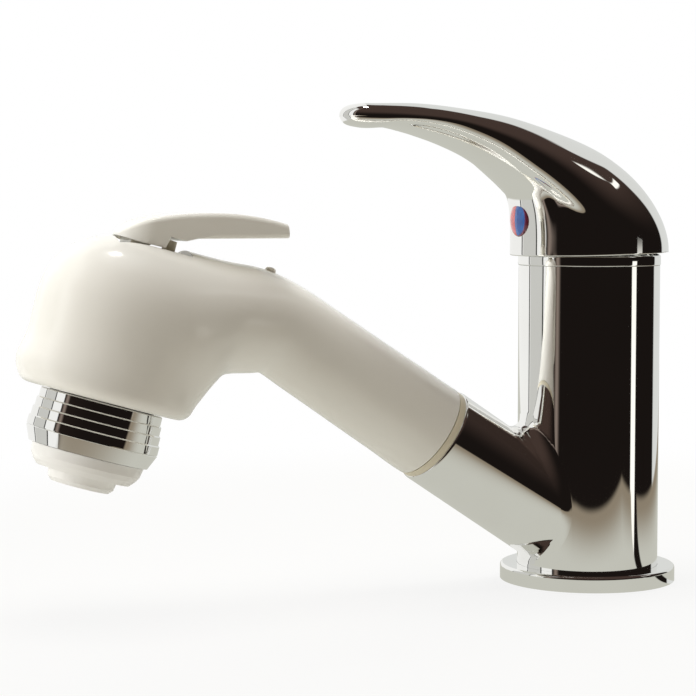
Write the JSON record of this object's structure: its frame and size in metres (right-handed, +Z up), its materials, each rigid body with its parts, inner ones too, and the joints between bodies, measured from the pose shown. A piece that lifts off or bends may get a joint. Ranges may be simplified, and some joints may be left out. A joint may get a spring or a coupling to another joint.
{
  "type": "pull-out mixer tap",
  "caption": "Single-lever mixer tap with a slanted arm and a pull-out white hand spray with a spray lever.",
  "frame": {"origin": "centre of the base on the worktop, between the two fixing studs", "axes": "+Z up along the body, -X toward the hand spray, +Y to the hot side"},
  "size_m": [0.2144, 0.056, 0.1514],
  "materials": {
    "chrome": "polished chrome plate",
    "white_plastic": "warm white, glossy",
    "nozzle_plastic": "white, satin gloss",
    "sleeve_plastic": "ivory, satin",
    "brass": "turned",
    "steel": "ground",
    "black_plastic": "moulded",
    "clear_plastic": "moulded",
    "ceramic": "lapped",
    "rubber": "soft",
    "hose_braid": "woven braid",
    "blue_mark": "glossy",
    "red_mark": "glossy",
    "plug_plastic": "moulded",
    "aerator_plastic": "moulded"
  },
  "bodies": {
    "body": {"tap_body": "chrome", "base_ring": "chrome", "base_gasket": "rubber", "hose_guide": "black_plastic", "docking_sleeve": "sleeve_plastic", "cartridge_base": "black_plastic", "cartridge_seals": "rubber", "fixed_disc": "ceramic", "cartridge_housing": "black_plastic", "cartridge_nut": "brass", "dome_collar": "chrome"},
    "carrier": {"stem_carrier": "brass"},
    "handle": {"handle": "chrome", "handle_stem": "brass", "stem_pin": "steel", "handle_grub_screw": "steel", "index_plug": "plug_plastic", "index_cold": "blue_mark", "index_hot": "red_mark"},
    "disc": {"moving_disc": "ceramic", "disc_carrier": "black_plastic"},
    "hose": {"spray_hose": "hose_braid", "hose_connector": "brass", "hose_washer": "rubber"},
    "handset": {"handset_shell": "white_plastic", "lever_stop": "white_plastic", "dock_spigot": "brass", "check_valve": "clear_plastic", "water_tube": "clear_plastic", "diverter_body": "black_plastic", "lever_pin": "steel", "return_spring": "steel", "head_carrier": "black_plastic", "spray_collar": "chrome", "spray_nozzle": "nozzle_plastic", "aerator": "aerator_plastic", "nozzle_seal": "rubber"},
    "lever": {"spray_lever": "white_plastic"},
    "plunger": {"diverter_plunger": "black_plastic", "plunger_seal": "rubber"}
  },
  "joints": [
    {"name": "handle_turn", "type": "hinge", "parent": "body", "child": "carrier", "pos_m": [0, 0, 0.0966], "axis": [0, 0, 1], "range_deg": [-50, 50]},
    {"name": "handle_lift", "type": "hinge", "parent": "carrier", "child": "handle", "pos_m": [0, 0, 0.0966], "axis": [0, 1, 0], "range_deg": [0, 20]},
    {"name": "disc_slide", "type": "slide", "parent": "carrier", "child": "disc", "axis": [1, 0, 0], "range_m": [-0.0028, 0]},
    {"name": "handset_slide", "type": "slide", "parent": "body", "child": "hose", "axis": [-0.8329, 0, 0.5534], "range_m": [0, 0.12], "deforming": ["spray_hose"]},
    {"name": "handset_twist", "type": "hinge", "parent": "hose", "child": "handset", "pos_m": [-0.05497, 0, 0.04887], "axis": [-0.8329, 0, 0.5534], "range_deg": [-90, 90]},
    {"name": "spray_lever", "type": "hinge", "parent": "handset", "child": "lever", "pos_m": [-0.15243, 0, 0.10601], "axis": [0, 1, 0], "range_deg": [0, 10], "stiffness_Nm_per_rad": 0.3, "springref_deg": -11.46},
    {"name": "plunger_slide", "type": "slide", "parent": "handset", "child": "plunger", "axis": [-0.2761, 0, -0.9611], "range_m": [0, 0.0024], "deforming": ["return_spring"]}
  ],
  "couplings": [
    {"joint": "disc_slide", "follows": "handle_lift", "m_per_rad": -0.008},
    {"joint": "plunger_slide", "follows": "spray_lever", "m_per_rad": 0.01318}
  ]
}
